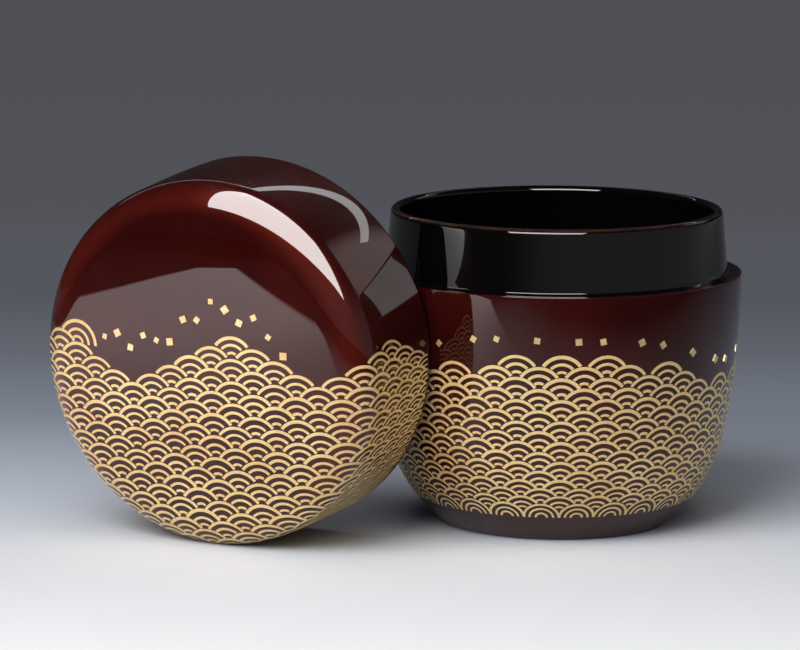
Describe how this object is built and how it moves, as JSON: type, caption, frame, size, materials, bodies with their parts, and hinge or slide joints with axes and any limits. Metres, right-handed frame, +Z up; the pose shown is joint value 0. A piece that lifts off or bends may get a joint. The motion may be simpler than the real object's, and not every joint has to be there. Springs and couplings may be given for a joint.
{
  "type": "lacquer tea caddy",
  "caption": "Turned lacquer tea caddy with a rising black collar, gold wave decoration and its loose lid standing beside it on edge.",
  "frame": {"origin": "middle of the flat foot's underside, on the table", "axes": "+Z up along the body's axis, +X to the right and -Y to the front, where the lid shows its crown"},
  "size_m": [0.1223, 0.0758, 0.0664],
  "materials": {
    "turned_wood": "fine turned hardwood, sealed under the lacquer",
    "brown_lacquer": "polished translucent brown-red lacquer",
    "black_lacquer": "polished black lacquer",
    "black_collar": "turned wood under polished black lacquer, worn brown along its crest",
    "gold_leaf": "satin gold"
  },
  "bodies": {
    "body": {"body_core": "turned_wood", "base_coat": "brown_lacquer", "body_coat": "brown_lacquer", "body_lining": "black_lacquer", "collar": "black_collar", "body_gold_squares": "gold_leaf"},
    "lid": {"lid_core": "turned_wood", "lid_coat": "brown_lacquer", "lid_lining": "black_lacquer", "lid_gold_squares": "gold_leaf"}
  },
  "joints": [
    {"name": "lid_lift", "type": "slide", "parent": "body", "child": "lid", "axis": [0, 0, 1], "range_m": [0, 0.08]}
  ]
}
